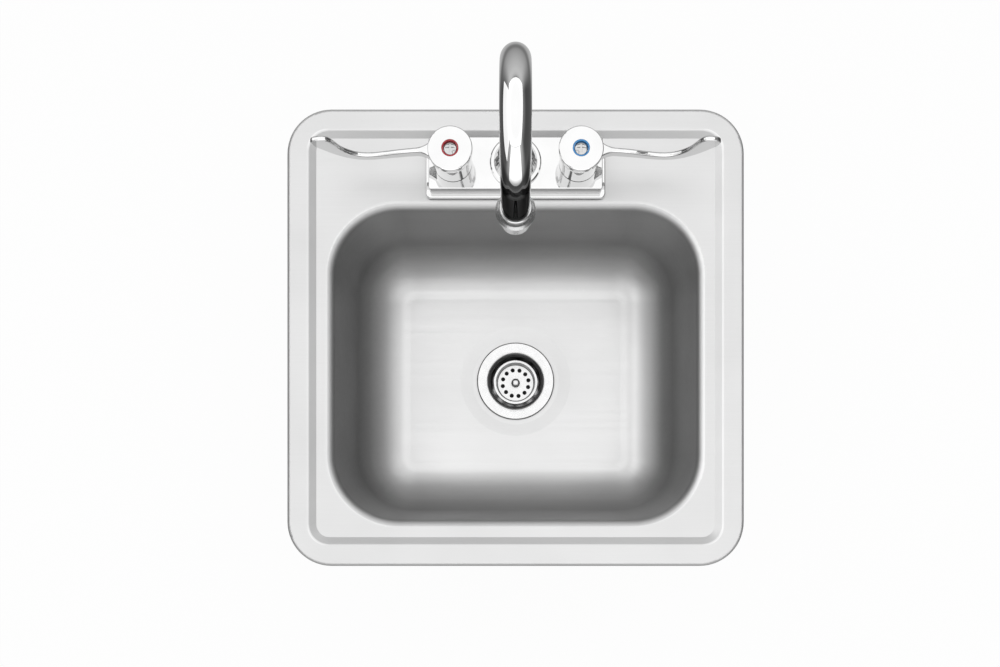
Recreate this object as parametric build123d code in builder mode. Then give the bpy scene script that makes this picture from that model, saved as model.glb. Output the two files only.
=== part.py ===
from build123d import *

import os

# Drop-in hand-wash sink: pressed steel basin, basket drain, and a gooseneck faucet with wrist-blade handles.
# Millimetres. Origin: centre of the rim outline, on the plane where the rim rests on the worktop.
# +Z is up, +Y points to the faucet side, +X to the cold tap.

# ---------------------------------------------------------------- driving dimensions
# Basin, pressed from one sheet
SHEET = 0.9
RIM_SIDE = 381.0
RIM_RADIUS = 37.0
RIM_TOP = 6.0
EDGE_ROUND = 3.0
DECK_TOP = 3.0
STEP_INSET_TOP = 17.4
STEP_INSET_BOTTOM = 24.0
STEP_RADIUS = 11.0
STEP_FILLET = 6.0
BOWL_WIDTH = 305.0
BOWL_LENGTH = 260.0
BOWL_Y = -22.5
BOWL_RADIUS = 55.0
BOWL_DEPTH = 139.7
BOWL_DRAFT = 2.5
LIP_RADIUS = 7.5
FLOOR_RADIUS = 45.0
DISH_RADIUS = 54.0
DISH_DEPTH = 1.2
DISH_TAPER = 84.0
DRAIN_HOLE_RADIUS = 28.5
FAUCET_HOLE_RADIUS = 16.0
SEAL_OUTER_INSET = 3.2
SEAL_INNER_INSET = 7.2
PAD = (186.0, 146.0, 3.0)
PAD_CORNER = 20.0
PAD_HOLE_RADIUS = 58.0

# Hold-down clips under the rim
WORKTOP = 19.0
RAIL_WIDTH = 8.0
RAIL_HEIGHT = 9.0
RAIL_WALL = 1.0
RAIL_LENGTH = 240.0
RAIL_SLOT = 4.4
RAIL_LINE = 178.8
CLIP_SPACING = 150.0
CLIP_BOLT_RADIUS = 2.0
CLIP_BOLT_LENGTH = 52.0
CLIP_HEAD = (5.6, 9.0, 2.0)
JAW_DROP = 5.0
JAW_THICK = 1.6
JAW_WIDTH = 13.0
JAW_HEEL = 7.0
JAW_LIP = 3.0
JAW_EDGE = 190.2
CLIP_NUT = (4.0, 3.2)

# Faucet, on the hot and cold shank centres
TAP_SPACING = 101.6
FAUCET_Y = 138.5
GASKET = 1.5
PLINTH = (149.0, 46.0, 4.0)
PLINTH_CORNER = 4.0
PLINTH_ROUND = 1.2
BLOCK = (141.0, 42.0)
BLOCK_CORNER = 1.6
BLOCK_WALL = 3.0
BLOCK_ROUND = 0.8
BASE_HEIGHT = 23.6
BOSS_RADIUS = 14.5
CHAMBER_RADIUS = 10.0
WATERWAY_RADIUS = 3.2
WATERWAY_WALL = 3.0
WATER_DROP = 8.6
SHANK_RADIUS = 10.4
SHANK_BORE = 6.5
SHANK_END = -46.0
SHANK_RISE = 9.6
SHANK_RUNOUT = (9.8, -9.4, -11.4)
SHANK_CHAMFER = 0.8
SHANK_WASHER = (19.0, 1.5)
SHANK_NUT = (14.5, 8.0)
WING = (44.0, 5.0)

# Taps
HUB_RADIUS = 17.4
HUB_TOP = 61.0
SKIRT_GAP = 0.8
HUB_CAVITY_RADIUS = 14.2
HUB_CAVITY_TOP = 47.0
HUB_BOSS = (6.6, 41.0)
HUB_ROUND = 1.0
HUB_WAIST = (16.2, 11.0)
SKIRT_RADIUS = 15.6
SQUARE = 5.6
SQUARE_LOW = 44.0
SQUARE_TOP = 54.0
STEM_RADIUS = 4.0
DISC_RADIUS = 7.8
DISC_THICK = 2.4
SEAT_SEAL = 2.0
NECK_TOP = 38.0
NECK_RADIUS = 7.4
HEX_RADIUS = 12.4
HEX_HEIGHT = 6.0
RECESS = (6.7, 2.4)
INDEX_BORE = 5.5
INDEX_PROUD = 0.2
INDEX_CHAMFER = 0.3
SCREW_HEAD = (5.3, 1.1)
SCREW_SHANK = (1.6, 46.0)
SCREW_HOLE = 2.2
CROSS = (7.4, 1.5, 1.6, 8.0)
BLADE_THICKNESS = 3.6
BLADE_REACH = 104.7
BLADE_ROUND = 1.3
FLARE_END = 28.0
FLARE_RADIUS = 20.0
# Side view of the lever, as (distance from the tap's axis, height)
BLADE_OVER = ((14.0, 58.6), (30.0, 56.2), (46.0, 51.6), (60.0, 47.2), (70.0, 46.8), (79.0, 53.0),
              (84.5, 63.0), (88.0, 75.0), (93.0, 82.0), (99.5, 81.5), (104.7, 73.5))
BLADE_UNDER = ((101.5, 65.0), (94.5, 54.5), (86.0, 45.0), (76.0, 38.8), (66.0, 37.6), (46.0, 42.0),
               (30.0, 45.6), (14.0, 48.4))

# Spout
SOCKET_RADIUS = 12.0
SOCKET_TOP = 37.5
SOCKET_WALL = 1.5
SOCKET_BORE = 7.0
RING_GROOVES = (24.0, 31.0)
RING_GROOVE = (11.4, 2.1)
CORD_GAP = 0.02
SNAP_RING = (9.0, 11.4, 38.2, 39.2)
DOME_SHOULDER = (39.8, 40.2)
SPOUT_RADIUS = 9.525
SPOUT_WALL = 1.2
SPOUT_LOW = 21.5
SPOUT_SPRING = 206.0
SPOUT_BEND = 37.0
SPOUT_END = 142.0
COLLAR_TOP = 160.5
OUTLET_END = 128.0
INSERT_HEIGHT = 10.2
INSERT_PLATE = 1.4
INSERT_WALL = 1.3
WASHER_BORE = 7.2
MESH_HOLE_RADIUS = 0.7
MESH_PITCH = 1.15
# Outside of the domed nut, as (radius, height above its foot), below and above its curve
DOME_FOOT = ((20.8, 0.0), (20.8, 2.2), (19.8, 3.2), (17.6, 3.4))
DOME_CURVE = ((16.6, 8.6), (13.6, 14.2), (11.4, 18.6))
DOME_NECK = ((11.4, 21.0), (10.8, 21.8))
# Outside of the aerator housing, as (radius, drop below its top)
HOUSING_SIDE = ((10.6, 0.0), (11.1, 0.6), (11.3, 3.0), (12.2, 6.5), (13.7, 9.5), (13.7, 11.5), (12.6, 14.0),
                (11.2, 16.0), (10.8, 17.5))
OUTLET_MOUTH = (8.2, 10.0, 0.8)
OUTLET_LEDGE = 1.5

# Drain
FLANGE_RADIUS = 38.0
FLANGE_SEAL = 0.8
FLANGE_EDGE = 1.0
FLANGE_CROWN = (1.0, 1.8)
FLANGE_INNER = (5.0, 1.3)
MOUTH_DROP = 3.7
CUP_RADIUS = 25.0
CUP_DEPTH = 30.0
BARREL_RADIUS = 27.5
BARREL_DEPTH = 36.0
ORIFICE_RADIUS = 13.5
ORIFICE_DEPTHS = (34.0, 40.0)
SPIGOT_BORE = 17.0
SPIGOT_RADIUS = 21.5
SPIGOT_DEPTHS = (43.0, 56.0)
DRAIN_GASKET = 3.0
FRICTION_WASHER = 0.8
LOCKNUT = (35.0, 32.0, 10.0)
LOCKNUT_LUGS = (6, 38.0, 7.0)
SLIP_NUT_RADIUS = 25.5
SLIP_NUT_FOOT = 3.0
SLIP_NUT_CHAMFER = 1.2
SLIP_NUT_LUGS = (8, 28.0, 4.0)
LUG_ROOT = 2.0
BASKET_RADIUS = 21.6
BASKET_FLOOR_RADIUS = 19.0
BASKET_FLARE = 1.4
BASKET_DEPTH = 12.0
BASKET_WALL = 0.8
BASKET_DROP = 8.0
BASKET_HOLES = (2.1, 13.2, 12, 12.8)
POST_RADIUS = 2.5
POST_TIP = 44.0
SPIDER_HEIGHT = 4.0
KNOB_DROP = 2.0
# The post above the cup's floor: (radius, height over the floor), then (radius, drop below the knob's top)
POST_SEAT = ((4.3, 0.0), (4.3, 1.2), (2.6, 2.4))
KNOB_SIDE = ((2.6, 4.6), (3.9, 3.4), (3.9, 1.4))
CLAMP_COLLAR = (4.5, 0.8)
STOPPER_DROP = 28.2
# The stopper, as (radius, height over its seat)
STOPPER_SIDE = ((15.5, 0.0), (17.0, 1.4), (15.5, 3.0), (5.0, 3.6))
TAIL_WASHER = 1.5
TAIL_RADIUS = 19.05
TAIL_WALL = 1.2
TAIL_LENGTH = 102.0
TAIL_GROOVE = (18.6, 8.6, 1.5)

RUN = 0.05  # running clearance on a radius
FIT = 0.1  # assembly gap between neighbouring pieces

# ---------------------------------------------------------------- derived levels and places
HALF = RIM_SIDE / 2
FLOOR_TOP = DECK_TOP - BOWL_DEPTH
DISH_TOP = FLOOR_TOP - DISH_DEPTH
DISH_UNDER = DISH_TOP - SHEET
RIM_UNDER = RIM_TOP - SHEET
TAPS_X = (-TAP_SPACING / 2, TAP_SPACING / 2)
BASE_TOP = DECK_TOP + BASE_HEIGHT
BASE_UNDER = DECK_TOP + GASKET
WATER_LINE = BASE_TOP - WATER_DROP
SHANK_TOP = DECK_TOP + SHANK_RISE
SOCKET_LOW = SHANK_TOP + 1.0
OUTLET_Y = FAUCET_Y - 2 * SPOUT_BEND
RAIL_BOTTOM = RIM_UNDER - RAIL_HEIGHT
JAW_TOP = -WORKTOP - JAW_DROP
QUARTERS = [Location((0, 0, 0), (0, 0, turn)) for turn in (0, 90, 180, 270)]
ALONG_RAIL = (-CLIP_SPACING / 2, CLIP_SPACING / 2)
CLIP_SPOTS = [quarter * Location((RAIL_LINE, along, 0)) for quarter in QUARTERS for along in ALONG_RAIL]

os.makedirs("parts", exist_ok=True)


def save(piece, name):
    """Labels the finished part and writes its STEP file."""
    piece.part.label = name
    export_step(piece.part, f"parts/{name}.step")


def upright(x, y):
    """The vertical plane through (x, y), sketched as radius against height."""
    return Plane(origin=(x, y, 0), x_dir=(1, 0, 0), z_dir=(0, -1, 0))


def upright_axis(x, y):
    """The vertical line through (x, y)."""
    return Axis((x, y, 0), (0, 0, 1))


def turned(outline, x, y):
    """A solid of revolution about the vertical line at (x, y). outline lists (radius, height) corners."""
    with BuildPart() as made:
        with BuildSketch(upright(x, y)):
            with BuildLine():
                Polyline(*outline, close=True)
            make_face()
        revolve(axis=upright_axis(x, y))
    return made


def level_edges(piece, z, tolerance=0.01):
    """The edges that lie in the horizontal plane at height z."""
    return piece.edges().filter_by_position(Axis.Z, z - tolerance, z + tolerance)


def circles_at(piece, z, radius, tolerance=0.01):
    """The level circular edges at height z with the given radius."""
    rings = level_edges(piece, z).filter_by(GeomType.CIRCLE)
    return rings.filter_by(lambda ring: abs(ring.radius - radius) < tolerance)


# ---------------------------------------------------------------- basin
STEP_SLOPE = (STEP_INSET_BOTTOM - STEP_INSET_TOP) / (RIM_TOP - DECK_TOP)
BEYOND = 10.0


def basin_form(grow):
    """The air above the basin. With grow set to the sheet's thickness, the same shape one sheet lower."""
    deck = DECK_TOP - grow
    rim = RIM_TOP - grow
    shift = grow * ((1 + STEP_SLOPE**2) ** 0.5 - STEP_SLOPE)
    half_width = BOWL_WIDTH / 2 + grow
    half_length = BOWL_LENGTH / 2 + grow
    with BuildPart() as form:
        for height, inset in ((deck, STEP_INSET_BOTTOM), (rim, STEP_INSET_TOP)):
            with BuildSketch(Plane.XY.offset(height)):
                side = RIM_SIDE - 2 * (inset - shift)
                RectangleRounded(side, side, STEP_RADIUS + STEP_INSET_BOTTOM - inset + shift)
        loft()
        with BuildSketch(Plane.XY.offset(deck)):
            with Locations((0, BOWL_Y)):
                RectangleRounded(2 * half_width, 2 * half_length, BOWL_RADIUS + grow)
        extrude(amount=-BOWL_DEPTH, taper=BOWL_DRAFT)
        with BuildSketch(Plane.XY.offset(rim)):
            Rectangle(RIM_SIDE + BEYOND, RIM_SIDE + BEYOND)
        extrude(amount=RIM_TOP)
        step = level_edges(form, rim).filter_by(lambda e: max(abs(e.center().X), abs(e.center().Y)) < HALF)
        fillet(step, STEP_FILLET - grow)
        lip = level_edges(form, deck).filter_by(lambda e: abs(e.center().X) < half_width + 1)
        lip = lip.filter_by(lambda e: abs(e.center().Y - BOWL_Y) < half_length + 1)
        fillet(lip, LIP_RADIUS - grow)
        fillet(level_edges(form, deck - BOWL_DEPTH), FLOOR_RADIUS + grow)
        with BuildSketch(Plane.XY.offset(deck - BOWL_DEPTH)):
            with Locations((0, BOWL_Y)):
                Circle(DISH_RADIUS + grow)
        extrude(amount=-DISH_DEPTH, taper=DISH_TAPER)
    return form


def make_basin():
    """Rim, recessed deck and bowl, pressed from one sheet, with its drain and faucet holes."""
    top_air = basin_form(0)
    with BuildPart() as under_rim:
        with BuildSketch():
            inner = RIM_SIDE - 2 * SHEET
            RectangleRounded(inner, inner, RIM_RADIUS - SHEET)
        extrude(amount=RIM_UNDER)
        fillet(level_edges(under_rim, RIM_UNDER), EDGE_ROUND - SHEET)
    with BuildPart() as pan:
        add(basin_form(SHEET).part)
        split(bisect_by=Plane.XY.offset(RIM_UNDER), keep=Keep.BOTTOM)
    with BuildPart() as basin:
        with BuildSketch():
            RectangleRounded(RIM_SIDE, RIM_SIDE, RIM_RADIUS)
        extrude(amount=RIM_TOP)
        fillet(level_edges(basin, RIM_TOP), EDGE_ROUND)
        add(under_rim.part, mode=Mode.SUBTRACT)
        add(pan.part)
        add(top_air.part, mode=Mode.SUBTRACT)
        with Locations((0, BOWL_Y, DISH_TOP)):
            Hole(DRAIN_HOLE_RADIUS, depth=2 * SHEET)
        with Locations(*[(x, FAUCET_Y, DECK_TOP) for x in (*TAPS_X, 0)]):
            Hole(FAUCET_HOLE_RADIUS, depth=2 * SHEET)
    save(basin, "basin")


def make_rim_seal():
    """Butyl strip under the rim, which beds on the worktop."""
    with BuildPart() as seal:
        with BuildSketch():
            for inset, mode in ((SEAL_OUTER_INSET, Mode.ADD), (SEAL_INNER_INSET, Mode.SUBTRACT)):
                side = RIM_SIDE - 2 * inset
                RectangleRounded(side, side, RIM_RADIUS - inset, mode=mode)
        extrude(amount=RIM_UNDER)
    save(seal, "rim_seal")


def make_sound_pad():
    """Rubber pad bonded under the bowl floor, round the drain dish."""
    with BuildPart() as pad:
        with BuildSketch(Plane.XY.offset(FLOOR_TOP - SHEET)):
            with Locations((0, BOWL_Y)):
                RectangleRounded(PAD[0], PAD[1], PAD_CORNER)
                Circle(PAD_HOLE_RADIUS, mode=Mode.SUBTRACT)
        extrude(amount=-PAD[2])
    save(pad, "sound_pad")


# ---------------------------------------------------------------- hold-down clips
def repeat(piece, places, name):
    """Copies one piece to each place and saves the copies as one part."""
    with BuildPart() as group:
        add([place * piece.part for place in places])
    save(group, name)


def make_clips():
    """Slotted rails welded under the rim, their T-bolts, and the jaws and nuts that grip the worktop."""
    with BuildPart() as rail:
        with BuildSketch(Plane.XZ):
            with Locations((RAIL_LINE, RIM_UNDER - RAIL_HEIGHT / 2)):
                Rectangle(RAIL_WIDTH, RAIL_HEIGHT)
                Rectangle(RAIL_WIDTH - 2 * RAIL_WALL, RAIL_HEIGHT - 2 * RAIL_WALL, mode=Mode.SUBTRACT)
            with Locations((RAIL_LINE, RAIL_BOTTOM)):
                Rectangle(RAIL_SLOT, 3 * RAIL_WALL, mode=Mode.SUBTRACT)
        extrude(amount=RAIL_LENGTH / 2, both=True)
    repeat(rail, QUARTERS, "clip_rails")

    head_low = RAIL_BOTTOM + RAIL_WALL
    with BuildPart() as bolt:
        with BuildSketch(Plane.XY.offset(head_low)):
            Rectangle(CLIP_HEAD[0], CLIP_HEAD[1])
        extrude(amount=CLIP_HEAD[2])
        with BuildSketch(Plane.XY.offset(head_low)):
            Circle(CLIP_BOLT_RADIUS)
        extrude(amount=-CLIP_BOLT_LENGTH)
        chamfer(level_edges(bolt, head_low - CLIP_BOLT_LENGTH), CLIP_BOLT_RADIUS / 4)
    repeat(bolt, CLIP_SPOTS, "clip_bolts")

    toe = JAW_EDGE - RAIL_LINE
    sole = JAW_TOP - JAW_THICK
    with BuildPart() as jaw:
        with BuildSketch(Plane.XZ):
            with BuildLine():
                Polyline(
                    (-JAW_HEEL, JAW_TOP + JAW_LIP),
                    (-JAW_HEEL, sole),
                    (toe, sole),
                    (toe, -WORKTOP),
                    (toe - JAW_THICK, -WORKTOP),
                    (toe - JAW_THICK, JAW_TOP),
                    (JAW_THICK - JAW_HEEL, JAW_TOP),
                    (JAW_THICK - JAW_HEEL, JAW_TOP + JAW_LIP),
                    close=True,
                )
            make_face()
        extrude(amount=JAW_WIDTH / 2, both=True)
        fillet(level_edges(jaw, sole).filter_by(Axis.Y), JAW_THICK * 0.75)
        with BuildSketch(Plane.XY.offset(JAW_TOP)):
            Circle(CLIP_BOLT_RADIUS + FIT)
        extrude(amount=-JAW_THICK, mode=Mode.SUBTRACT)
    repeat(jaw, CLIP_SPOTS, "clip_jaws")

    with BuildPart() as nut:
        with BuildSketch(Plane.XY.offset(sole)):
            RegularPolygon(CLIP_NUT[0], 6)
            Circle(CLIP_BOLT_RADIUS + RUN, mode=Mode.SUBTRACT)
        extrude(amount=-CLIP_NUT[1])
    repeat(nut, CLIP_SPOTS, "clip_nuts")


# ---------------------------------------------------------------- drain
def drain_ring(inner, outer, top, thickness, name):
    """A flat washer on the drain's axis."""
    low = top - thickness
    save(turned([(inner, low), (outer, low), (outer, top), (inner, top)], 0, BOWL_Y), name)
    return low


def lugged_nut(outline, lugs, low, high, name):
    """A round nut turned from outline, with spanner lugs from low to high. lugs is (count, reach, width)."""
    count, reach, width = lugs
    root = max(radius for radius, _ in outline) - LUG_ROOT
    with BuildPart() as nut:
        add(turned(outline, 0, BOWL_Y).part)
        with BuildSketch(Plane.XY.offset(low)):
            with Locations((0, BOWL_Y)):
                with PolarLocations((root + reach) / 2, count):
                    Rectangle(reach - root, width)
        extrude(amount=high - low)
    save(nut, name)


def make_drain():
    """Flanged strainer body through the bowl floor, its seals and nuts, and the waste tail."""
    d = DISH_TOP
    bed = d + FLANGE_SEAL
    orifice_top, orifice_low = (d - depth for depth in ORIFICE_DEPTHS)
    spigot_top, spigot_low = (d - depth for depth in SPIGOT_DEPTHS)
    drain_ring(DRAIN_HOLE_RADIUS, FLANGE_RADIUS - 1, bed, FLANGE_SEAL, "flange_seal")

    with BuildPart() as body:
        with BuildSketch(upright(0, BOWL_Y)):
            with BuildLine():
                flange = Polyline(
                    (BARREL_RADIUS, bed),
                    (FLANGE_RADIUS, bed),
                    (FLANGE_RADIUS, bed + FLANGE_EDGE),
                    (FLANGE_RADIUS - FLANGE_CROWN[0], bed + FLANGE_CROWN[1]),
                    (CUP_RADIUS + FLANGE_INNER[0], bed + FLANGE_INNER[1]),
                )
                mouth = TangentArc(flange @ 1, (CUP_RADIUS, bed - MOUTH_DROP), tangent=(-1, -0.05))
                Polyline(
                    mouth @ 1,
                    (CUP_RADIUS, d - CUP_DEPTH),
                    (ORIFICE_RADIUS, orifice_top),
                    (ORIFICE_RADIUS, orifice_low),
                    (SPIGOT_BORE, spigot_top),
                    (SPIGOT_BORE, spigot_low),
                    (SPIGOT_RADIUS, spigot_low),
                    (SPIGOT_RADIUS, orifice_low),
                    (BARREL_RADIUS, d - BARREL_DEPTH),
                    (BARREL_RADIUS, bed),
                )
            make_face()
        revolve(axis=upright_axis(0, BOWL_Y))
        with BuildSketch(Plane.XY.offset(orifice_low)):
            with Locations((0, BOWL_Y)):
                Rectangle(2 * ORIFICE_RADIUS + 1, POST_RADIUS)
                Rectangle(POST_RADIUS, 2 * ORIFICE_RADIUS + 1)
                Circle(2 * POST_RADIUS)
                Circle(POST_RADIUS + RUN, mode=Mode.SUBTRACT)
        extrude(amount=SPIDER_HEIGHT)
    save(body, "drain_body")

    bore = BARREL_RADIUS + FIT
    low = drain_ring(bore, FLANGE_RADIUS - 1, DISH_UNDER, DRAIN_GASKET, "drain_gasket")
    low = drain_ring(bore, FLANGE_RADIUS - 2, low, FRICTION_WASHER, "friction_washer")
    wide, narrow, height = LOCKNUT
    foot = low - height
    nut = [(bore, low), (wide, low), (wide, low - 2), (narrow, low - 3), (narrow, foot), (bore, foot)]
    lugged_nut(nut, LOCKNUT_LUGS, foot, low - 2.5, "drain_locknut")

    edge = SPIGOT_RADIUS - FIT
    low = drain_ring(SPIGOT_BORE + 2 * FIT, edge, spigot_low, TAIL_WASHER, "tail_washer")
    lip = low - TAIL_WALL
    end = low - TAIL_LENGTH
    groove, groove_drop, groove_height = TAIL_GROOVE
    groove_top = lip - groove_drop
    groove_low = groove_top - groove_height
    tail = [(TAIL_RADIUS - TAIL_WALL, low), (edge, low), (edge, lip), (TAIL_RADIUS, lip),
            (TAIL_RADIUS, groove_top), (groove, groove_top), (groove, groove_low), (TAIL_RADIUS, groove_low),
            (TAIL_RADIUS, end), (TAIL_RADIUS - TAIL_WALL, end)]
    save(turned(tail, 0, BOWL_Y), "tailpiece")

    bore = SPIGOT_RADIUS + FIT
    neck = TAIL_RADIUS + FIT
    foot = lip - FIT - SLIP_NUT_FOOT
    side = foot + SLIP_NUT_CHAMFER
    slip = [(bore, spigot_top), (SLIP_NUT_RADIUS, spigot_top), (SLIP_NUT_RADIUS, side),
            (SLIP_NUT_RADIUS - SLIP_NUT_CHAMFER, foot), (neck, foot), (neck, lip - FIT), (bore, lip - FIT)]
    lugged_nut(slip, SLIP_NUT_LUGS, side, spigot_top - 3, "slip_nut")


def make_basket():
    """Perforated crumb cup on a post, with a rubber stopper under it. Drawn raised, with the drain open."""
    rim = DISH_TOP - BASKET_DROP
    floor = rim - BASKET_DEPTH
    inside = floor + BASKET_WALL
    bore = POST_RADIUS + RUN
    side = BASKET_FLOOR_RADIUS
    top_side = side + BASKET_FLARE
    hole_radius, circle_radius, count, turn = BASKET_HOLES
    with BuildPart() as cup:
        with BuildSketch(upright(0, BOWL_Y)):
            with BuildLine():
                Polyline(
                    (bore, floor),
                    (side, floor),
                    (top_side, rim - BASKET_WALL),
                    (BASKET_RADIUS, rim - BASKET_WALL),
                    (BASKET_RADIUS, rim),
                    (top_side - BASKET_WALL, rim),
                    (side - BASKET_WALL, inside),
                    (bore, inside),
                    close=True,
                )
            make_face()
        revolve(axis=upright_axis(0, BOWL_Y))
        fillet(circles_at(cup, floor, side), 2 * BASKET_WALL)
        fillet(circles_at(cup, inside, side - BASKET_WALL), BASKET_WALL)
        with BuildSketch(Plane.XY.offset(floor)):
            with Locations((0, BOWL_Y)):
                with PolarLocations(circle_radius, count, start_angle=turn):
                    Circle(hole_radius)
        extrude(amount=BASKET_WALL, mode=Mode.SUBTRACT)
    save(cup, "strainer_basket")

    knob = rim - KNOB_DROP
    seat = DISH_TOP - STOPPER_DROP
    tip = DISH_TOP - POST_TIP
    collar_radius, collar_height = CLAMP_COLLAR
    with BuildPart() as post:
        with BuildSketch(upright(0, BOWL_Y)):
            with BuildLine():
                side = Polyline(
                    (0, knob),
                    (0, tip),
                    (POST_RADIUS - 0.8, tip),
                    (POST_RADIUS, tip + 1.5),
                    (POST_RADIUS, seat - collar_height),
                    (collar_radius, seat - collar_height),
                    (collar_radius, seat),
                    (POST_RADIUS, seat),
                    (POST_RADIUS, inside),
                    *[(radius, inside + over) for radius, over in POST_SEAT],
                    *[(radius, knob - under) for radius, under in KNOB_SIDE],
                )
                TangentArc((0, knob), side @ 1, tangent=(1, 0))
            make_face()
        revolve(axis=upright_axis(0, BOWL_Y))
    save(post, "basket_post")

    stopper_top = seat + STOPPER_SIDE[-1][1]
    stopper = [(bore, seat), *[(radius, seat + over) for radius, over in STOPPER_SIDE], (bore, stopper_top)]
    save(turned(stopper, 0, BOWL_Y), "basket_stopper")


# ---------------------------------------------------------------- faucet base
def make_base():
    """Cast base: plinth and block, hollow under, with two valve chambers, a spout bore and the waterway."""
    with BuildPart() as base:
        with BuildSketch(Plane.XY.offset(BASE_UNDER)):
            with Locations((0, FAUCET_Y)):
                RectangleRounded(PLINTH[0], PLINTH[1], PLINTH_CORNER)
        extrude(amount=PLINTH[2])
        fillet(level_edges(base, BASE_UNDER + PLINTH[2]), PLINTH_ROUND)
        with BuildSketch(Plane.XY.offset(BASE_UNDER)):
            with Locations((0, FAUCET_Y)):
                RectangleRounded(BLOCK[0], BLOCK[1], BLOCK_CORNER)
        extrude(amount=BASE_TOP - BASE_UNDER)
        fillet(level_edges(base, BASE_TOP), BLOCK_ROUND)
        with BuildSketch(Plane.XY.offset(BASE_UNDER)):
            with Locations((0, FAUCET_Y)):
                Rectangle(BLOCK[0] - 2 * BLOCK_WALL, BLOCK[1] - 2 * BLOCK_WALL)
        extrude(amount=BASE_TOP - BASE_UNDER - BLOCK_WALL, mode=Mode.SUBTRACT)
        with BuildSketch(Plane.XY.offset(BASE_UNDER)):
            with Locations(*[(x, FAUCET_Y) for x in (*TAPS_X, 0)]):
                Circle(BOSS_RADIUS)
        extrude(amount=BASE_TOP - BASE_UNDER - 1)
        for radius, mode in ((WATERWAY_RADIUS + WATERWAY_WALL, Mode.ADD), (WATERWAY_RADIUS, Mode.SUBTRACT)):
            with BuildSketch(Plane.YZ.offset(TAPS_X[0])):
                with Locations((FAUCET_Y, WATER_LINE)):
                    Circle(radius)
            extrude(amount=TAP_SPACING, mode=mode)
        with Locations(*[(x, FAUCET_Y, BASE_TOP) for x in TAPS_X]):
            Hole(CHAMBER_RADIUS, depth=BASE_TOP - SHANK_TOP)
        with Locations((0, FAUCET_Y, BASE_TOP)):
            Hole(SOCKET_RADIUS, depth=BASE_TOP - SOCKET_LOW)
        with BuildSketch(Plane.XY.offset(BASE_UNDER)):
            with Locations(*[(x, FAUCET_Y) for x in TAPS_X]):
                Circle(SHANK_RADIUS + FIT)
        extrude(amount=SHANK_TOP - BASE_UNDER, mode=Mode.SUBTRACT)
    save(base, "faucet_base")

    with BuildPart() as gasket:
        with BuildSketch(Plane.XY.offset(DECK_TOP)):
            with Locations((0, FAUCET_Y)):
                RectangleRounded(PLINTH[0] - 2, PLINTH[1] - 2, PLINTH_CORNER - 1)
            with Locations(*[(x, FAUCET_Y) for x in (*TAPS_X, 0)]):
                Circle(SHANK_RADIUS + FIT, mode=Mode.SUBTRACT)
        extrude(amount=GASKET)
    save(gasket, "base_gasket")


def make_shanks():
    """Threaded inlet shanks, and the washers and wing nuts that clamp the base to the deck."""
    runout, runout_top, runout_low = SHANK_RUNOUT
    for name, x in zip(("hot", "cold"), TAPS_X):
        tube = [(SHANK_BORE, SHANK_END), (SHANK_RADIUS - SHANK_CHAMFER, SHANK_END),
                (SHANK_RADIUS, SHANK_END + SHANK_CHAMFER), (SHANK_RADIUS, runout_low), (runout, runout_low),
                (runout, runout_top), (SHANK_RADIUS, runout_top), (SHANK_RADIUS, SHANK_TOP),
                (SHANK_BORE, SHANK_TOP)]
        save(turned(tube, x, FAUCET_Y), f"{name}_shank")
    nut_top = DECK_TOP - SHEET - SHANK_WASHER[1]
    with BuildPart() as washers:
        with BuildSketch(Plane.XY.offset(nut_top)):
            with Locations(*[(x, FAUCET_Y) for x in TAPS_X]):
                Circle(SHANK_WASHER[0])
                Circle(SHANK_RADIUS + FIT, mode=Mode.SUBTRACT)
        extrude(amount=SHANK_WASHER[1])
    save(washers, "shank_washers")
    with BuildPart() as nuts:
        with BuildSketch(Plane.XY.offset(nut_top)):
            with Locations(*[(x, FAUCET_Y) for x in TAPS_X]):
                Rectangle(WING[0], WING[1])
                Circle(SHANK_NUT[0])
                Circle(SHANK_RADIUS + FIT, mode=Mode.SUBTRACT)
        extrude(amount=-SHANK_NUT[1])
    save(nuts, "shank_nuts")


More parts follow.
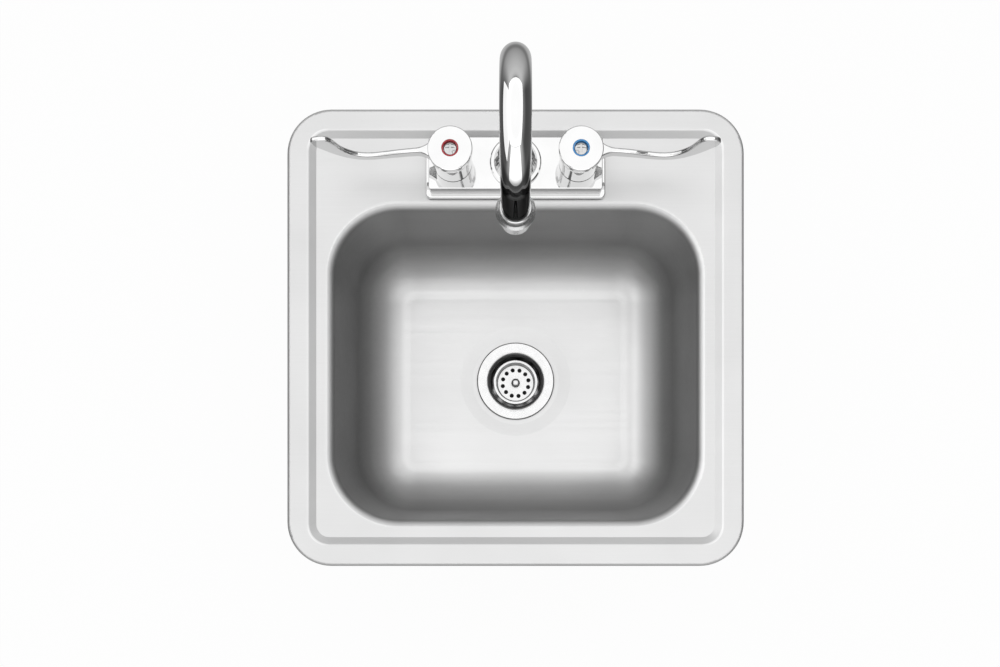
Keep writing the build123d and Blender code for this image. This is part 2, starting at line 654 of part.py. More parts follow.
# ---------------------------------------------------------------- taps
def make_valve(name, x):
    """Quarter-turn ceramic cartridge in its chamber: body, seat seal, two discs and the stem."""
    y = FAUCET_Y
    low = SHANK_TOP + FIT
    discs = low + SEAT_SEAL
    driver = discs + 2 * DISC_THICK + 2 * RUN
    neck = driver + DISC_THICK
    wall = CHAMBER_RADIUS - FIT
    inner = DISC_RADIUS + 0.2
    shelf = BASE_TOP + FIT
    bore = STEM_RADIUS + RUN
    outline = [(inner, low), (wall, low), (wall, shelf), (NECK_RADIUS, shelf), (NECK_RADIUS, NECK_TOP),
               (bore, NECK_TOP), (bore, neck), (inner, neck)]
    with BuildPart() as cartridge:
        add(turned(outline, x, y).part)
        with BuildSketch(Plane.XY.offset(shelf)):
            with Locations((x, y)):
                RegularPolygon(HEX_RADIUS, 6)
                Circle(NECK_RADIUS - 0.4, mode=Mode.SUBTRACT)
        extrude(amount=HEX_HEIGHT)
        with BuildSketch(Plane.YZ.offset(x)):
            with Locations((y, WATER_LINE)):
                Circle(WATERWAY_RADIUS - 0.8)
        extrude(amount=CHAMBER_RADIUS + 2, both=True, mode=Mode.SUBTRACT)
    save(cartridge, f"{name}_cartridge")

    seal = [(5.0, low), (DISC_RADIUS, low), (DISC_RADIUS, discs), (5.0, discs)]
    save(turned(seal, x, y), f"{name}_seat_seal")
    for kind, base in (("fixed", discs), ("moving", discs + DISC_THICK + RUN)):
        with BuildPart() as plate:
            with BuildSketch(Plane.XY.offset(base)):
                with Locations((x, y)):
                    Circle(DISC_RADIUS)
                    with PolarLocations(4.2, 2, start_angle=90):
                        SlotOverall(5.4, 3.0, rotation=90, mode=Mode.SUBTRACT)
            extrude(amount=DISC_THICK)
        save(plate, f"{name}_{kind}_disc")

    foot = DISC_RADIUS - 0.4
    shaft = [(0, driver), (foot, driver), (foot, neck - RUN), (STEM_RADIUS, neck - RUN),
             (STEM_RADIUS, SQUARE_LOW), (0, SQUARE_LOW)]
    with BuildPart() as stem:
        add(turned(shaft, x, y).part)
        with BuildSketch(Plane.XY.offset(SQUARE_LOW)):
            with Locations((x, y)):
                Rectangle(SQUARE, SQUARE)
        extrude(amount=SQUARE_TOP - SQUARE_LOW)
        with Locations((x, y, SQUARE_TOP)):
            Hole(SCREW_SHANK[0] + RUN, depth=SQUARE_TOP - SCREW_SHANK[1] + 1)
    save(stem, f"{name}_stem")


def make_lever(x, out):
    """Wrist blade: a thin upright lever, flared at its root, that dips and then rises into a tall paddle."""
    y = FAUCET_Y
    half = BLADE_THICKNESS / 2
    over_points = [(out * u, z) for u, z in BLADE_OVER]
    under_points = [(out * u, z) for u, z in BLADE_UNDER]
    low = min(z for _, z in BLADE_UNDER) - 1
    high = max(z for _, z in BLADE_OVER) + 2
    with BuildPart() as plan:
        with BuildSketch(Plane.XY.offset(low)):
            with Locations((x + out * BLADE_REACH / 2, y)):
                Rectangle(BLADE_REACH + 2, BLADE_THICKNESS)
            with Locations((x + out * FLARE_END / 2, y)):
                Rectangle(FLARE_END, HUB_RADIUS)
            with Locations(*[(x + out * FLARE_END, y + side * (half + FLARE_RADIUS)) for side in (-1, 1)]):
                Circle(FLARE_RADIUS, mode=Mode.SUBTRACT)
        extrude(amount=high - low)
    with BuildPart() as lever:
        with BuildSketch(upright(x, y)):
            with BuildLine():
                over = Spline(*over_points, tangents=((out, -0.1), (0, -1)))
                under = Spline(over @ 1, *under_points, tangents=((0, -1), (-out, 0.2)))
                Line(under @ 1, over @ 0)
            make_face()
        extrude(amount=HUB_RADIUS, both=True)
        add(plan.part, mode=Mode.INTERSECT)
        rims = lever.edges().filter_by(lambda e: e.length > 60)
        fillet(rims, BLADE_ROUND)
    return lever


def make_handle(name, x, out):
    """Handle: round hub over the valve, with its blade, colour ring and screw."""
    y = FAUCET_Y
    skirt = BASE_TOP + SKIRT_GAP
    boss_radius, boss_low = HUB_BOSS
    waist_radius, waist_drop = HUB_WAIST
    ring_radius, recess = RECESS
    seat = HUB_TOP - recess
    outline = [(0, HUB_TOP), (HUB_RADIUS, HUB_TOP), (HUB_RADIUS, HUB_TOP - waist_drop / 2),
               (waist_radius, HUB_TOP - waist_drop), (SKIRT_RADIUS, skirt), (HUB_CAVITY_RADIUS, skirt),
               (HUB_CAVITY_RADIUS, HUB_CAVITY_TOP), (0, HUB_CAVITY_TOP)]
    with BuildPart() as handle:
        add(turned(outline, x, y).part)
        fillet(circles_at(handle, HUB_TOP, HUB_RADIUS), HUB_ROUND)
        add(make_lever(x, out).part)
        with BuildSketch(Plane.XY.offset(boss_low)):
            with Locations((x, y)):
                Circle(boss_radius)
        extrude(amount=HUB_CAVITY_TOP - boss_low + 1)
        with BuildSketch(Plane.XY.offset(boss_low)):
            with Locations((x, y)):
                Rectangle(SQUARE + 2 * FIT, SQUARE + 2 * FIT)
        extrude(amount=SQUARE_TOP - boss_low + FIT, mode=Mode.SUBTRACT)
        with BuildSketch(Plane.XY.offset(boss_low)):
            with Locations((x, y)):
                Circle(STEM_RADIUS + FIT)
        extrude(amount=SQUARE_LOW - boss_low + FIT, mode=Mode.SUBTRACT)
        with Locations((x, y, HUB_TOP)):
            CounterBoreHole(SCREW_HOLE, ring_radius, recess, depth=HUB_TOP - SQUARE_TOP)
    save(handle, f"{name}_handle")

    inner = INDEX_BORE
    outer = ring_radius - FIT
    crown = HUB_TOP + INDEX_PROUD
    side = crown - INDEX_CHAMFER
    ring = [(inner, seat), (outer, seat), (outer, side), (outer - INDEX_CHAMFER, crown),
            (inner + INDEX_CHAMFER, crown), (inner, side)]
    save(turned(ring, x, y), f"{name}_index_ring")

    head_radius, head_edge = SCREW_HEAD
    shank, tip = SCREW_SHANK
    arm, arm_width, cross_depth, cross_draft = CROSS
    with BuildPart() as screw:
        with BuildSketch(upright(x, y)):
            with BuildLine():
                edge = Polyline((0, HUB_TOP), (0, tip), (shank - 0.6, tip), (shank, tip + 0.6), (shank, seat),
                                (head_radius, seat), (head_radius, seat + head_edge))
                TangentArc((0, HUB_TOP), edge @ 1, tangent=(1, 0))
            make_face()
        revolve(axis=upright_axis(x, y))
        with BuildSketch(Plane.XY.offset(HUB_TOP)):
            with Locations((x, y)):
                Rectangle(arm, arm_width)
                Rectangle(arm_width, arm)
        extrude(amount=-cross_depth, taper=cross_draft, mode=Mode.SUBTRACT)
    save(screw, f"{name}_handle_screw")


# ---------------------------------------------------------------- spout
def make_spout_joint():
    """The fixed half of the swivel: socket, O-rings and the domed nut that holds the spout down."""
    y = FAUCET_Y
    bore = SPOUT_RADIUS + RUN
    wall = SOCKET_RADIUS - FIT
    groove_radius, groove_height = RING_GROOVE
    floor = SOCKET_LOW + SOCKET_WALL
    outline = [(SOCKET_BORE, SOCKET_LOW), (wall, SOCKET_LOW), (wall, SOCKET_TOP), (bore, SOCKET_TOP)]
    for low in reversed(RING_GROOVES):
        high = low + groove_height
        outline += [(bore, high), (groove_radius, high), (groove_radius, low), (bore, low)]
    outline += [(bore, floor), (SOCKET_BORE, floor)]
    with BuildPart() as socket:
        add(turned(outline, 0, y).part)
        with BuildSketch(Plane.YZ):
            with Locations((y, WATER_LINE)):
                Circle(WATERWAY_RADIUS - 0.8)
        extrude(amount=SOCKET_RADIUS + 1, both=True, mode=Mode.SUBTRACT)
    save(socket, "spout_socket")

    cord = (groove_radius - bore) / 2 - CORD_GAP
    with BuildPart() as rings:
        with Locations(*[(0, y, low + groove_height / 2) for low in RING_GROOVES]):
            Torus((groove_radius + bore) / 2, cord)
    save(rings, "spout_orings")

    low = BASE_TOP + FIT
    inner = SOCKET_RADIUS + FIT
    neck = SPOUT_RADIUS + FIT
    shoulder_low, shoulder_top = DOME_SHOULDER
    foot_points, curve_points, neck_points = (
        [(radius, low + over) for radius, over in points] for points in (DOME_FOOT, DOME_CURVE, DOME_NECK)
    )
    with BuildPart() as nut:
        with BuildSketch(upright(0, y)):
            with BuildLine():
                foot = Polyline((inner, low), *foot_points)
                dome = Spline(foot @ 1, *curve_points, tangents=((0, 1), (0, 1)))
                Polyline(dome @ 1, *neck_points, (neck, neck_points[-1][1]), (neck, shoulder_top),
                         (inner, shoulder_low), (inner, low))
            make_face()
        revolve(axis=upright_axis(0, y))
    save(nut, "spout_nut")


def make_spout():
    """The turning half: gooseneck tube, its snap ring, and the collar, washer and insert at the outlet."""
    y = FAUCET_Y
    ring_inner, ring_outer, ring_low, ring_top = SNAP_RING
    with BuildPart() as tube:
        with BuildLine() as route:
            riser = Line((0, y, SPOUT_LOW), (0, y, SPOUT_SPRING))
            crown = (0, y - SPOUT_BEND, SPOUT_SPRING + SPOUT_BEND)
            bend = ThreePointArc(riser @ 1, crown, (0, OUTLET_Y, SPOUT_SPRING))
            Line(bend @ 1, (0, OUTLET_Y, SPOUT_END))
        with BuildSketch(Plane.XY.offset(SPOUT_LOW)):
            with Locations((0, y)):
                Circle(SPOUT_RADIUS)
                Circle(SPOUT_RADIUS - SPOUT_WALL, mode=Mode.SUBTRACT)
        sweep(path=route.wires()[0])
        with BuildSketch(Plane.XY.offset(ring_low - RUN)):
            with Locations((0, y)):
                Circle(ring_outer)
                Circle(ring_inner - RUN, mode=Mode.SUBTRACT)
        extrude(amount=ring_top - ring_low + 2 * RUN, mode=Mode.SUBTRACT)
    save(tube, "gooseneck_spout")

    ring = [(ring_inner, ring_low), (ring_outer, ring_low), (ring_outer, ring_top), (ring_inner, ring_top)]
    save(turned(ring, 0, y), "spout_snap_ring")

    bore = SPOUT_RADIUS + FIT
    mouth, mouth_edge, mouth_chamfer = OUTLET_MOUTH
    ledge = OUTLET_END + OUTLET_LEDGE
    side = [(radius, COLLAR_TOP - drop) for radius, drop in HOUSING_SIDE]
    housing = [(bore, COLLAR_TOP), *side, (side[-1][0], OUTLET_END + mouth_chamfer), (mouth_edge, OUTLET_END),
               (mouth, OUTLET_END), (mouth, ledge), (bore, ledge)]
    save(turned(housing, 0, OUTLET_Y), "aerator_housing")

    outer = bore - FIT
    inner = outer - INSERT_WALL
    plate = ledge + INSERT_PLATE
    top = ledge + INSERT_HEIGHT
    shell = [(0, ledge), (outer, ledge), (outer, top), (inner, top), (inner, plate), (0, plate)]
    with BuildPart() as insert:
        add(turned(shell, 0, OUTLET_Y).part)
        with BuildSketch(Plane.XY.offset(ledge)):
            with Locations((0, OUTLET_Y)):
                with HexLocations(MESH_PITCH, 5, 5):
                    Circle(MESH_HOLE_RADIUS)
        extrude(amount=INSERT_PLATE, mode=Mode.SUBTRACT)
    save(insert, "aerator_insert")
    low = top + FIT
    high = SPOUT_END - FIT
    washer = [(WASHER_BORE, low), (outer, low), (outer, high), (WASHER_BORE, high)]
    save(turned(washer, 0, OUTLET_Y), "aerator_washer")


make_basin()
make_rim_seal()
make_sound_pad()
make_clips()
make_drain()
make_basket()
make_base()
make_shanks()
for tap, tap_x, outward in (("hot", TAPS_X[0], -1), ("cold", TAPS_X[1], 1)):
    make_valve(tap, tap_x)
    make_handle(tap, tap_x, outward)
make_spout_joint()
make_spout()
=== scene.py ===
import math

import bpy
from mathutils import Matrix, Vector


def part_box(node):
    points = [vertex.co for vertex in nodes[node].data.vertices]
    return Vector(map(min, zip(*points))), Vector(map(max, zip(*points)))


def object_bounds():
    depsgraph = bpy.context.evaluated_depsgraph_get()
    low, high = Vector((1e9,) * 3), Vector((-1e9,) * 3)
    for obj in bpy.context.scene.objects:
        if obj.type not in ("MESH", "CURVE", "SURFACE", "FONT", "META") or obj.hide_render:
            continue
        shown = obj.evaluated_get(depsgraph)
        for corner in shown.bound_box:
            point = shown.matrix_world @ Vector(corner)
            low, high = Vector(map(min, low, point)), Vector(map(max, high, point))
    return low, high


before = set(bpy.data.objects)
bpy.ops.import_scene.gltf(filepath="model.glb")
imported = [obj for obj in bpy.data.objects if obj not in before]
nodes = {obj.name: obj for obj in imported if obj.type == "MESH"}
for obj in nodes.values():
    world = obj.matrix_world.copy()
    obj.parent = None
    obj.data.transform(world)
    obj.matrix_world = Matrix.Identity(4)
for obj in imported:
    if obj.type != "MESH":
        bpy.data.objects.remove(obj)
cad_low, cad_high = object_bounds()

# ---------------------------------------------------------------- places, in metres
BOWL_MIDDLE_Z = -0.03
FLANGE_LIP = 0.0032
BEND_SETBACK = 0.003

drain_low, drain_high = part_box("drain_body")
neck_low, neck_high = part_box("gooseneck_spout")
drain_middle = (drain_low + drain_high) / 2
floor_middle = (drain_middle.x, drain_middle.y, drain_high.z)
bowl_middle = (drain_middle.x, drain_middle.y, BOWL_MIDDLE_Z)
drain_mouth = drain_high.z - FLANGE_LIP
bend_y = (neck_low.y + neck_high.y) / 2 - BEND_SETBACK

# ---------------------------------------------------------------- tones and painted light and shade, from 0 to 1
# Painted light and shade of the sheet where it faces the bowl, as (how far it faces up, tone), with the walls
# painted darker than the floor. Painted light is added to it by place, and painted shade is taken off.
PAINTED_SHEET_BY_SLOPE = (
    (-1.0, 0.45), (0.0, 0.30), (0.5, 0.44), (0.7, 0.58), (0.87, 0.64), (0.96, 0.62), (0.99, 0.74),
    (1.0, 0.78),
)
# Painted light, added to the bowl's tone by place:
END_PAINTED_LIGHT = 0.09
RIGHT_PAINTED_LIGHT = 0.22
# Painted shade, taken off the bowl's tone by place:
LEFT_PAINTED_SHADE = 0.05
LOW_PAINTED_SHADE = 0.07
MIDDLE_PAINTED_SHADE = 0.09
STEP_PAINTED_SHADE = 0.14
OUTER_TONE = 0.60
PLATING_TONE = 0.66
# Painted shade down the front of the gooseneck's outlet leg: the tone is cut to these shares, face on and
# edge on.
LEG_PAINTED_SHADE_SHARE = 0.35
LEG_EDGE_PAINTED_SHADE_SHARE = 0.15

# ---------------------------------------------------------------- studio
FLOOR_GAP = 0.002
FLOOR_GLOW = 1.0
FLOOR_MATT_SHARE = 0.06
HORIZON = 0.955
SOFTBOX_HEIGHT = 1.6
SOFTBOX_SIZE = (3.2, 3.2)
SOFTBOX_POWER = 48.5
CARD_RADIANCE = 1.3
PLATED_FAUCET = (
    "gooseneck_spout", "spout_nut", "aerator_housing", "faucet_base",
    "hot_handle", "cold_handle", "hot_handle_screw", "cold_handle_screw",
)
# Brightness of the room that the metal mirrors, as (height of the direction, strength). It is dark at the
# top, where the softbox hangs.
ROOM_AHEAD = (
    (-1.0, 0.55), (-0.7, 0.50), (-0.5, 0.25), (-0.3, 0.40), (0.0, 0.55), (0.3, 0.68), (0.55, 0.75),
    (0.75, 0.05), (1.0, 0.0),
)
ROOM_BESIDE = (
    (-1.0, 0.20), (0.0, 0.10), (0.3, 0.12), (0.5, 0.25), (0.62, 0.30), (0.78, 0.03), (1.0, 0.0),
)

# ---------------------------------------------------------------- camera
CAMERA_HEIGHT = 0.773
CAMERA_Y = -0.1118
CAMERA_LENS = 33.18
LENS_SHIFT = {"shift_x": -0.0156, "shift_y": 0.1382}
SAME_HEIGHT = 0.0002


# ---------------------------------------------------------------- node helpers
class Graph:
    """A node tree, with short calls for the nodes used here."""

    def __init__(self, tree):
        self.tree = tree
        self.shader = tree.nodes.get("Principled BSDF")

    def link(self, source, target):
        self.tree.links.new(source, target)

    def node(self, kind, **settings):
        made = self.tree.nodes.new(kind)
        for key, value in settings.items():
            setattr(made, key, value)
        return made

    def put(self, target, value):
        """Sets an input to a number or colour, or links another node's output to it."""
        if isinstance(value, bpy.types.NodeSocket):
            self.link(value, target)
        else:
            target.default_value = value

    def coordinate(self, kind):
        return self.node("ShaderNodeTexCoord").outputs[kind]

    def part(self, vector, axis):
        split = self.node("ShaderNodeSeparateXYZ")
        self.link(vector, split.inputs[0])
        return split.outputs[axis]

    def facing(self, axis):
        """How far the surface faces along one axis of the object, from -1 to 1."""
        return self.part(self.coordinate("Normal"), axis)

    def position(self, axis):
        """Where the shaded point is along one axis of the object."""
        return self.part(self.coordinate("Object"), axis)

    def vectors(self, operation, a, b):
        made = self.node("ShaderNodeVectorMath", operation=operation)
        self.put(made.inputs[0], a)
        self.put(made.inputs[1], b)
        return made

    def distance(self, centre):
        """How far the shaded point is from a point of the object."""
        return self.vectors("DISTANCE", self.coordinate("Object"), centre).outputs["Value"]

    def outside(self, centre):
        """1 where the surface faces away from the centre, 0 where it faces it."""
        away = self.vectors("SUBTRACT", self.coordinate("Object"), centre).outputs["Vector"]
        dot = self.vectors("DOT_PRODUCT", away, self.coordinate("Normal")).outputs["Value"]
        return self.span(dot, -0.002, 0.002, 0.0, 1.0)

    def noise(self, scale, detail=2.0, roughness=0.5):
        """Noise with that many cells to the metre, either one number or one for each axis."""
        mapping = self.node("ShaderNodeMapping")
        mapping.inputs["Scale"].default_value = scale if isinstance(scale, tuple) else (scale, scale, scale)
        self.link(self.coordinate("Object"), mapping.inputs["Vector"])
        made = self.node("ShaderNodeTexNoise")
        self.link(mapping.outputs["Vector"], made.inputs["Vector"])
        made.inputs["Scale"].default_value = 1.0
        made.inputs["Detail"].default_value = detail
        made.inputs["Roughness"].default_value = roughness
        return made.outputs["Fac"]

    def span(self, value, low, high, to_low, to_high, smooth=False):
        """value, from low to high, mapped onto to_low to to_high and clamped."""
        made = self.node("ShaderNodeMapRange")
        if smooth:
            made.interpolation_type = "SMOOTHSTEP"
        self.put(made.inputs["Value"], value)
        for name, number in (("From Min", low), ("From Max", high), ("To Min", to_low), ("To Max", to_high)):
            made.inputs[name].default_value = number
        return made.outputs["Result"]

    def curve(self, value, points):
        """value, from -1 to 1, read off a smooth curve through the points."""
        made = self.node("ShaderNodeFloatCurve")
        made.mapping.clip_min_x = -1.0
        line = made.mapping.curves[0]
        line.points[0].location = points[0]
        line.points[1].location = points[-1]
        for point in points[1:-1]:
            line.points.new(*point)
        made.mapping.update()
        self.put(made.inputs["Value"], value)
        return made.outputs["Value"]

    def math(self, operation, a, b=0.0):
        made = self.node("ShaderNodeMath", operation=operation)
        self.put(made.inputs[0], a)
        self.put(made.inputs[1], b)
        return made.outputs[0]

    def plus(self, a, b):
        return self.math("ADD", a, b)

    def minus(self, a, b):
        return self.math("SUBTRACT", a, b)

    def times(self, a, b):
        return self.math("MULTIPLY", a, b)

    def absolute(self, a):
        return self.math("ABSOLUTE", a)

    def mix(self, factor, a, b):
        """Colour a where the factor is 0 and colour b where it is 1."""
        made = self.node("ShaderNodeMix", data_type="RGBA")
        first, second = [socket for socket in made.inputs if socket.type == "RGBA"]
        self.put(made.inputs["Factor"], factor)
        self.put(first, a)
        self.put(second, b)
        return [socket for socket in made.outputs if socket.type == "RGBA"][0]

    def blend(self, factor, a, b):
        """Shader a where the factor is 0 and shader b where it is 1."""
        made = self.node("ShaderNodeMixShader")
        self.put(made.inputs[0], factor)
        self.link(a.outputs[0], made.inputs[1])
        self.link(b.outputs[0], made.inputs[2])
        return made

    def grey(self, tone):
        """A grey colour whose brightness is another node's output."""
        colour = self.node("ShaderNodeCombineColor")
        for channel in ("Red", "Green", "Blue"):
            self.link(tone, colour.inputs[channel])
        return colour.outputs["Color"]

    def bump(self, height, strength, distance):
        made = self.node("ShaderNodeBump")
        made.inputs["Strength"].default_value = strength
        made.inputs["Distance"].default_value = distance
        self.link(height, made.inputs["Height"])
        self.link(made.outputs["Normal"], self.shader.inputs["Normal"])

    def set(self, **values):
        """Sets the main shader's inputs. An underscore in a name stands for a space."""
        for key, value in values.items():
            self.put(self.shader.inputs[key.replace("_", " ")], value)


def new_material(name):
    """A material and the graph of its node tree."""
    material = bpy.data.materials.new(name)
    material.use_nodes = True
    return material, Graph(material.node_tree)


def even_grey(tone):
    return (tone, tone, tone, 1.0)


def darker(colour, share):
    return tuple(channel * share for channel in colour[:3]) + (1.0,)


# ---------------------------------------------------------------- materials
def painted_bowl_light(graph, up):
    """Painted light and shade of the sheet facing the bowl, by slope and side, standing for what a real bowl
    mirrors.
    """
    x = graph.facing("X")
    z = graph.position("Z")
    endways = graph.absolute(graph.facing("Y"))
    # Painted light on the end walls and on the wall at the +X side; painted shade on the wall at the -X side,
    # towards the bottom, around the centre of the floor and on the steps.
    painted_end_light = graph.span(endways, 0.5, 1.0, 0.0, END_PAINTED_LIGHT, smooth=True)
    straight = graph.span(endways, 0.03, 0.50, 1.0, 0.0, smooth=True)
    painted_left_shade = graph.span(x, 0.2, 0.7, 0.0, LEFT_PAINTED_SHADE, smooth=True)
    right_start = graph.span(x, -0.15, -0.35, 0.0, 1.0, smooth=True)
    right_stop = graph.span(x, -0.60, -0.90, RIGHT_PAINTED_LIGHT, 0.0, smooth=True)
    painted_right_light = graph.times(graph.times(right_start, right_stop), straight)
    # Painted shade, darker towards the bottom of the bowl.
    low = graph.span(z, -0.10, -0.13, 0.0, LOW_PAINTED_SHADE, smooth=True)
    painted_middle_shade = graph.span(graph.distance(floor_middle), 0.04, 0.115, MIDDLE_PAINTED_SHADE, 0.0)
    above_deck = graph.span(z, 0.0020, 0.0030, 0.0, 1.0)
    painted_step_shade = graph.times(graph.span(up, 0.975, 0.92, 0.0, STEP_PAINTED_SHADE, smooth=True), above_deck)
    # Painted light and shade by slope, with the painted light added and the painted shade taken off.
    tone = graph.curve(up, PAINTED_SHEET_BY_SLOPE)
    for painted_lift in (painted_end_light, painted_right_light):
        tone = graph.plus(tone, painted_lift)
    for shade in (painted_left_shade, low, painted_middle_shade, painted_step_shade):
        tone = graph.minus(tone, shade)
    return tone


def brushed_sheet():
    """Satin stainless sheet, brushed along X where it is flat and duller where it was drawn down, with
    painted light and shade inside the bowl, darker on the walls.
    """
    material, graph = new_material("brushed_sheet")
    up = graph.facing("Z")
    flat = graph.span(up, 0.80, 0.995, 0.0, 1.0, smooth=True)
    fine = graph.noise((9.0, 1500.0, 1500.0), detail=3.0, roughness=0.6)
    long = graph.noise((2.5, 260.0, 260.0))
    streak = graph.plus(graph.times(fine, 0.55), graph.times(long, 0.45))
    grain = graph.times(graph.span(streak, 0.3, 0.7, -0.02, 0.02), flat)
    cloud = graph.span(graph.noise(14.0), 0.3, 0.7, -0.015, 0.015)
    outer = graph.outside(bowl_middle)
    # Painted light and shade inside the bowl; the outside keeps an even tone.
    painted_inner_tone = graph.times(graph.minus(1.0, outer), painted_bowl_light(graph, up))
    tone = graph.plus(graph.plus(grain, cloud), graph.plus(painted_inner_tone, graph.times(outer, OUTER_TONE)))
    rough = graph.plus(graph.span(streak, 0.3, 0.7, -0.05, 0.05), graph.span(flat, 0.0, 1.0, 0.62, 0.42))
    along_x = graph.node("ShaderNodeCombineXYZ")
    along_x.inputs["X"].default_value = 1.0
    graph.set(Base_Color=graph.grey(tone), Metallic=1.0, Roughness=rough)
    graph.set(Anisotropic=graph.times(flat, 0.4), Tangent=along_x.outputs["Vector"])
    graph.bump(graph.times(streak, flat), 0.25, 0.00003)
    return material


def polish(graph, roughness):
    """Sets a polished metal's gloss and its faint unevenness, and returns its smudges, from 0 to 1."""
    smudge = graph.noise(45.0, detail=3.0)
    slow = graph.noise(60.0, detail=1.0)
    graph.set(Metallic=1.0, Roughness=graph.span(smudge, 0.4, 0.7, roughness, roughness + 0.03))
    graph.bump(slow, 0.3, 0.00002)
    return graph.span(smudge, 0.35, 0.7, 0.0, 1.0)


def plating(name, tone, roughness):
    """Bright plating or polished steel, a little duller in its smudges."""
    material, graph = new_material(name)
    graph.set(Base_Color=graph.mix(polish(graph, roughness), even_grey(tone), even_grey(0.96 * tone)))
    return material


def gooseneck_plating():
    """Bright plating, with painted shade down the front of the outlet leg, which stands over the shaded bowl.
    """
    material, graph = new_material("gooseneck_plating")
    front = graph.span(graph.facing("Y"), -0.25, -0.60, 0.0, 1.0, smooth=True)
    leg = graph.span(graph.position("Y"), bend_y, bend_y - 0.012, 0.0, 1.0, smooth=True)
    steep = graph.span(graph.facing("Z"), 0.50, 0.38, 0.0, 1.0, smooth=True)
    # Painted shade: the front of the outlet leg is darkened, in its tone and in its tint edge on.
    shade = graph.times(graph.times(front, leg), steep)
    smudged = graph.span(polish(graph, 0.03), 0.0, 1.0, PLATING_TONE, 0.97 * PLATING_TONE)
    tone = graph.times(smudged, graph.span(shade, 0.0, 1.0, 1.0, LEG_PAINTED_SHADE_SHARE))
    painted_edge_tint = graph.span(shade, 0.0, 1.0, 1.0, LEG_EDGE_PAINTED_SHADE_SHARE)
    graph.set(Base_Color=graph.grey(tone), Specular_Tint=graph.grey(painted_edge_tint))
    return material


def drain_steel(name, side, painted_sunk_shade):
    """Polished drain steel with painted light and shade: painted bright where it faces up, painted to the
    tone side where it is upright, and painted darker deeper in the cup.
    """
    material, graph = new_material(name)
    up = graph.facing("Z")
    grain = graph.noise(1100.0)
    stain = graph.noise(120.0, detail=3.0)
    # Painted light and shade by slope: bright where it faces up, dark where it is upright.
    painted_tone_by_slope = ((-1.0, 2 * side), (0.0, side), (0.5, 1.6 * side), (0.8, 0.34), (0.93, 0.58), (1.0, 0.66))
    tone = graph.plus(graph.curve(up, painted_tone_by_slope), graph.span(grain, 0.3, 0.7, -0.035, 0.035))
    tone = graph.plus(tone, graph.span(stain, 0.35, 0.7, 0.015, -0.03))
    # Painted shade: darker deeper in the cup, below the flange's mouth.
    tone = graph.minus(tone, graph.span(graph.position("Z"), drain_mouth, drain_mouth - 0.016, 0.0, painted_sunk_shade))
    graph.set(Base_Color=graph.grey(tone), Metallic=1.0, Roughness=graph.span(up, 0.3, 0.95, 0.42, 0.24))
    graph.bump(grain, 0.2, 0.00003)
    return material


def turned_brass():
    """Turned brass: rings of fine tool marks up the height, with a little tarnish."""
    material, graph = new_material("turned_brass")
    colour = (0.78, 0.60, 0.30, 1)
    rings = graph.noise((20.0, 20.0, 900.0), detail=1.0)
    tarnish = graph.span(graph.noise(70.0, detail=3.0), 0.4, 0.7, 0.0, 1.0)
    graph.set(Base_Color=graph.mix(tarnish, colour, darker(colour, 0.8)))
    graph.set(Metallic=1.0, Roughness=graph.span(rings, 0.3, 0.7, 0.20, 0.33))
    graph.bump(rings, 0.3, 0.00005)
    return material


def zinc_plate():
    """Passivated zinc plating: dull, a little blue and yellow in patches."""
    material, graph = new_material("zinc_plate")
    patch = graph.span(graph.noise(90.0, detail=3.0), 0.35, 0.65, 0.0, 1.0)
    grain = graph.noise(900.0)
    graph.set(Base_Color=graph.mix(patch, (0.66, 0.67, 0.69, 1), (0.60, 0.59, 0.55, 1)))
    graph.set(Metallic=0.9, Roughness=graph.span(grain, 0.3, 0.7, 0.3, 0.42))
    graph.bump(grain, 0.2, 0.00005)
    return material


def dull(name, colour, roughness, depth=0.00008, sheen=0.0):
    """Rubber, nylon, fibre or ceramic: an even colour with fine grain of that depth and a little mottling."""
    material, graph = new_material(name)
    fine = graph.noise(700.0)
    mottle = graph.span(graph.noise(60.0, detail=3.0), 0.35, 0.7, 0.0, 1.0)
    graph.set(Base_Color=graph.mix(mottle, colour, darker(colour, 0.82)), Sheen_Weight=sheen)
    graph.set(Roughness=graph.span(fine, 0.3, 0.7, roughness - 0.05, roughness + 0.05))
    graph.bump(fine, 0.4, depth)
    return material


def paint(material, *names):
    for name in names:
        mesh = nodes[name].data
        mesh.materials.clear()
        mesh.materials.append(material)


paint(brushed_sheet(), "basin", "clip_rails")
paint(plating("bright_plating", PLATING_TONE, 0.03), "spout_nut", "faucet_base", "hot_handle", "cold_handle",
      "tailpiece")
paint(gooseneck_plating(), "gooseneck_spout")
paint(plating("satin_plating", 0.60, 0.25), "aerator_housing")
paint(plating("screw_steel", 0.50, 0.12), "hot_handle_screw", "cold_handle_screw")
paint(drain_steel("drain_steel", side=0.10, painted_sunk_shade=0.10), "drain_body")
paint(drain_steel("basket_steel", side=0.30, painted_sunk_shade=0.02), "strainer_basket", "basket_post")
paint(turned_brass(), "hot_shank", "cold_shank", "hot_cartridge", "cold_cartridge", "hot_stem", "cold_stem",
      "spout_socket")
paint(zinc_plate(), "clip_bolts", "clip_jaws", "clip_nuts", "shank_nuts", "drain_locknut")
paint(dull("black_rubber", (0.025, 0.025, 0.027, 1), 0.6), "basket_stopper", "drain_gasket", "spout_orings",
      "hot_seat_seal", "cold_seat_seal", "aerator_washer", "base_gasket", "sound_pad", "tail_washer")
paint(dull("grey_butyl", (0.30, 0.30, 0.29, 1), 0.8), "rim_seal", "flange_seal")
paint(dull("white_nylon", (0.80, 0.80, 0.77, 1), 0.4, sheen=0.1), "shank_washers", "slip_nut",
      "spout_snap_ring", "aerator_insert")
paint(dull("pressed_fibre", (0.36, 0.24, 0.17, 1), 0.8), "friction_washer")
paint(dull("alumina", (0.86, 0.84, 0.80, 1), 0.2), "hot_fixed_disc", "hot_moving_disc", "cold_fixed_disc",
      "cold_moving_disc")
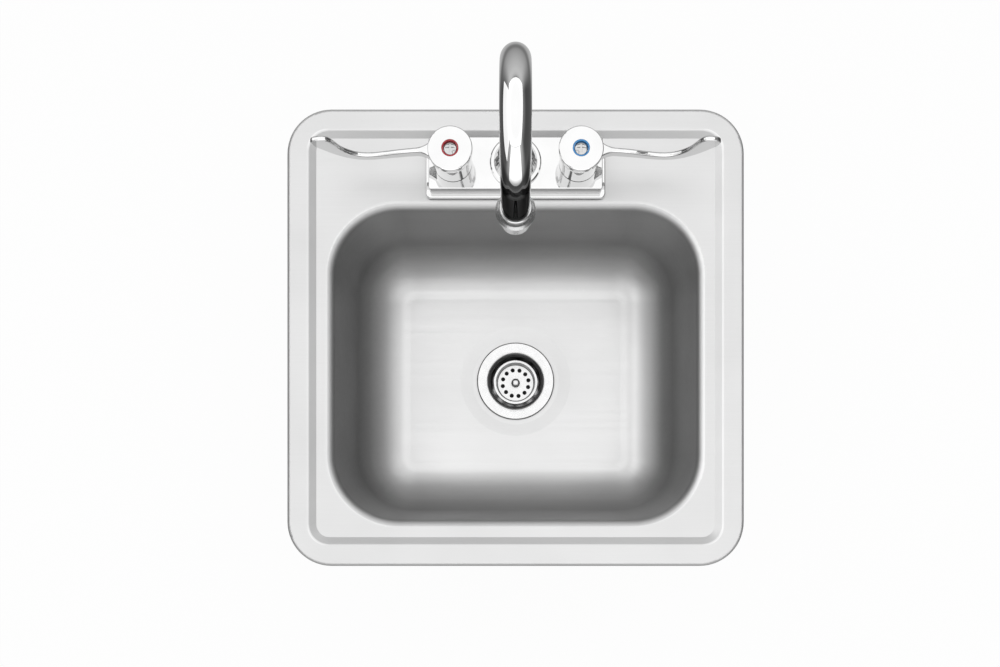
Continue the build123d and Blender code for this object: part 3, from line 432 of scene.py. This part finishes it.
paint(dull("red_mark", (0.42, 0.025, 0.035, 1), 0.25, depth=0.00002), "hot_index_ring")
paint(dull("blue_mark", (0.06, 0.28, 0.62, 1), 0.25, depth=0.00002), "cold_index_ring")


# ---------------------------------------------------------------- studio
def pale_floor(height):
    """Pale seamless floor, nearly even in tone. The metal doesn't mirror it, and it is clear from below."""
    bpy.ops.mesh.primitive_plane_add(size=30.0, location=(0, 0, height))
    made = bpy.context.object
    made.name = "studio_floor"
    material, graph = new_material("pale_floor")
    graph.tree.nodes.remove(graph.shader)
    glow = graph.node("ShaderNodeEmission")
    glow.inputs["Color"].default_value = even_grey(FLOOR_GLOW)
    matt = graph.node("ShaderNodeBsdfDiffuse")
    matt.inputs["Color"].default_value = even_grey(0.9)
    clear = graph.node("ShaderNodeBsdfTransparent")
    underneath = graph.node("ShaderNodeNewGeometry").outputs["Backfacing"]
    surface = graph.blend(underneath, graph.blend(FLOOR_MATT_SHARE, glow, matt), clear)
    graph.link(surface.outputs[0], graph.tree.nodes["Material Output"].inputs["Surface"])
    made.data.materials.append(material)
    made.visible_glossy = False
    made.visible_diffuse = False


def room():
    """White for the camera, while the metal mirrors a room that is bright ahead and behind, dark beside."""
    world = bpy.data.worlds.new("studio")
    bpy.context.scene.world = world
    world.use_nodes = True
    world.node_tree.nodes.clear()
    graph = Graph(world.node_tree)
    x, y, z = (graph.part(graph.coordinate("Generated"), axis) for axis in "XYZ")
    across = graph.math("SQRT", graph.plus(graph.times(x, x), graph.times(y, y)))
    endways = graph.math("DIVIDE", graph.absolute(y), graph.math("MAXIMUM", across, 0.001))
    ahead = graph.span(endways, 0.45, 0.85, 0.0, 1.0, smooth=True)
    bright = graph.times(graph.curve(z, ROOM_AHEAD), ahead)
    flagged = graph.times(graph.curve(z, ROOM_BESIDE), graph.minus(1.0, ahead))
    mirrored = graph.node("ShaderNodeBackground")
    seen = graph.node("ShaderNodeBackground")
    graph.link(graph.plus(bright, flagged), mirrored.inputs["Strength"])
    seen.inputs["Strength"].default_value = HORIZON
    for shader in (mirrored, seen):
        shader.inputs["Color"].default_value = even_grey(1.0)
    to_camera = graph.node("ShaderNodeLightPath").outputs["Is Camera Ray"]
    both = graph.blend(to_camera, mirrored, seen)
    graph.link(both.outputs[0], graph.node("ShaderNodeOutputWorld").inputs["Surface"])


def area_light(name, location, aim, size, power):
    """A rectangular light that the camera doesn't see."""
    data = bpy.data.lights.new(name, "AREA")
    data.shape = "RECTANGLE"
    data.size, data.size_y = size
    data.energy = power
    made = bpy.data.objects.new(name, data)
    made.location = location
    made.rotation_euler = (Vector(aim) - Vector(location)).to_track_quat("-Z", "Y").to_euler()
    bpy.context.scene.collection.objects.link(made)
    made.visible_camera = False
    return made


def reflector_card(name, location, size):
    """An upright card of even brightness, facing the Z axis, that only the plated faucet mirrors."""
    aim = (0.0, 0.0, location[2])
    made = area_light(name, location, aim, size, CARD_RADIANCE * math.pi * size[0] * size[1])
    faucet = bpy.data.collections.new(name)
    for node in PLATED_FAUCET:
        faucet.objects.link(nodes[node])
    made.light_linking.receiver_collection = faucet


def camera():
    """Looks straight down."""
    data = bpy.data.cameras.new("camera")
    data.sensor_width = 36.0
    data.lens = CAMERA_LENS
    made = bpy.data.objects.new("camera", data)
    made.location = (0.0, CAMERA_Y, CAMERA_HEIGHT)
    bpy.context.scene.collection.objects.link(made)
    bpy.context.scene.camera = made
    for path, amount in LENS_SHIFT.items():
        driver = data.driver_add(path).driver
        driver.type = "SCRIPTED"
        height = driver.variables.new()
        height.name = "height"
        height.type = "TRANSFORMS"
        height.targets[0].id = made
        height.targets[0].transform_type = "LOC_Z"
        height.targets[0].transform_space = "WORLD_SPACE"
        driver.expression = f"{amount} if abs(height - {CAMERA_HEIGHT}) < {SAME_HEIGHT} else 0.0"


bpy.context.scene.view_settings.view_transform = "Standard"
pale_floor(cad_low.z - FLOOR_GAP)
room()
area_light("overhead", (0.0, 0.0, SOFTBOX_HEIGHT), (0.0, 0.0, 0.0), SOFTBOX_SIZE, SOFTBOX_POWER)
reflector_card("front_card", (0.0, -1.5, 0.42), (2.2, 2.1))
reflector_card("left_card", (-1.6, 0.0, 0.85), (2.4, 1.5))
camera()
